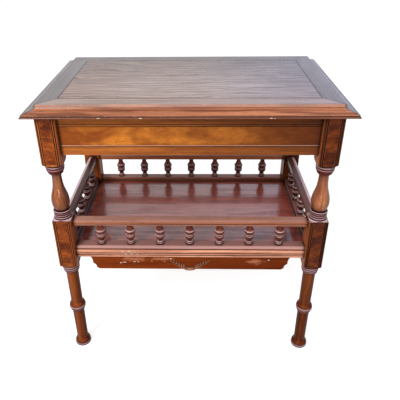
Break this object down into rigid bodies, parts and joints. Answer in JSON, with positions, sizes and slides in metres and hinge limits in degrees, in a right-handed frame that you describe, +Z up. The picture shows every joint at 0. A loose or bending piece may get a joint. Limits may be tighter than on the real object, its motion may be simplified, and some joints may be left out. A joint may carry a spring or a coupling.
{
  "type": "two-tier side table",
  "caption": "Walnut side table with a moulded panelled top, veneered frieze, turned and reeded legs, and a low shelf ringed by a spindle gallery.",
  "frame": {"origin": "on the floor, under the middle of the table", "axes": "+Z up, +X to the table's right seen from the front, the front faces -Y"},
  "size_m": [0.74, 0.47, 0.747],
  "materials": {
    "top_walnut": "French polished, worn",
    "turned_walnut": "French polished",
    "figured_veneer": "French polished figured veneer",
    "inner_wood": "plain unpolished",
    "steel": "plain"
  },
  "bodies": {
    "root": {"frieze_rail_back": "turned_walnut", "frieze_rail_front": "turned_walnut", "frieze_rail_left": "turned_walnut", "frieze_rail_right": "turned_walnut", "frieze_veneer_back": "figured_veneer", "frieze_veneer_front": "figured_veneer", "frieze_veneer_left": "figured_veneer", "frieze_veneer_right": "figured_veneer", "gallery_rail_back": "turned_walnut", "gallery_rail_front": "turned_walnut", "gallery_rail_left": "turned_walnut", "gallery_rail_right": "turned_walnut", "leg_back_left": "turned_walnut", "leg_back_right": "turned_walnut", "leg_front_left": "turned_walnut", "leg_front_right": "turned_walnut", "leg_veneers_back_left": "figured_veneer", "leg_veneers_back_right": "figured_veneer", "leg_veneers_front_left": "figured_veneer", "leg_veneers_front_right": "figured_veneer", "lower_apron_back": "turned_walnut", "lower_apron_blocks": "inner_wood", "lower_apron_front": "turned_walnut", "shelf_panel": "top_walnut", "shelf_rail_back": "turned_walnut", "shelf_rail_front": "turned_walnut", "shelf_rail_left": "turned_walnut", "shelf_rail_right": "turned_walnut", "spindle_back_1": "turned_walnut", "spindle_back_2": "turned_walnut", "spindle_back_3": "turned_walnut", "spindle_back_4": "turned_walnut", "spindle_back_5": "turned_walnut", "spindle_back_6": "turned_walnut", "spindle_back_7": "turned_walnut", "spindle_front_1": "turned_walnut", "spindle_front_2": "turned_walnut", "spindle_front_3": "turned_walnut", "spindle_front_4": "turned_walnut", "spindle_front_5": "turned_walnut", "spindle_front_6": "turned_walnut", "spindle_front_7": "turned_walnut", "spindle_left_1": "turned_walnut", "spindle_left_2": "turned_walnut", "spindle_left_3": "turned_walnut", "spindle_left_4": "turned_walnut", "spindle_right_1": "turned_walnut", "spindle_right_2": "turned_walnut", "spindle_right_3": "turned_walnut", "spindle_right_4": "turned_walnut", "top_blocks": "inner_wood", "top_frame_back": "top_walnut", "top_frame_front": "top_walnut", "top_frame_left": "top_walnut", "top_frame_right": "top_walnut", "top_mitre_tongues": "inner_wood", "top_panel": "top_walnut", "top_screws": "steel"}
  },
  "joints": []
}
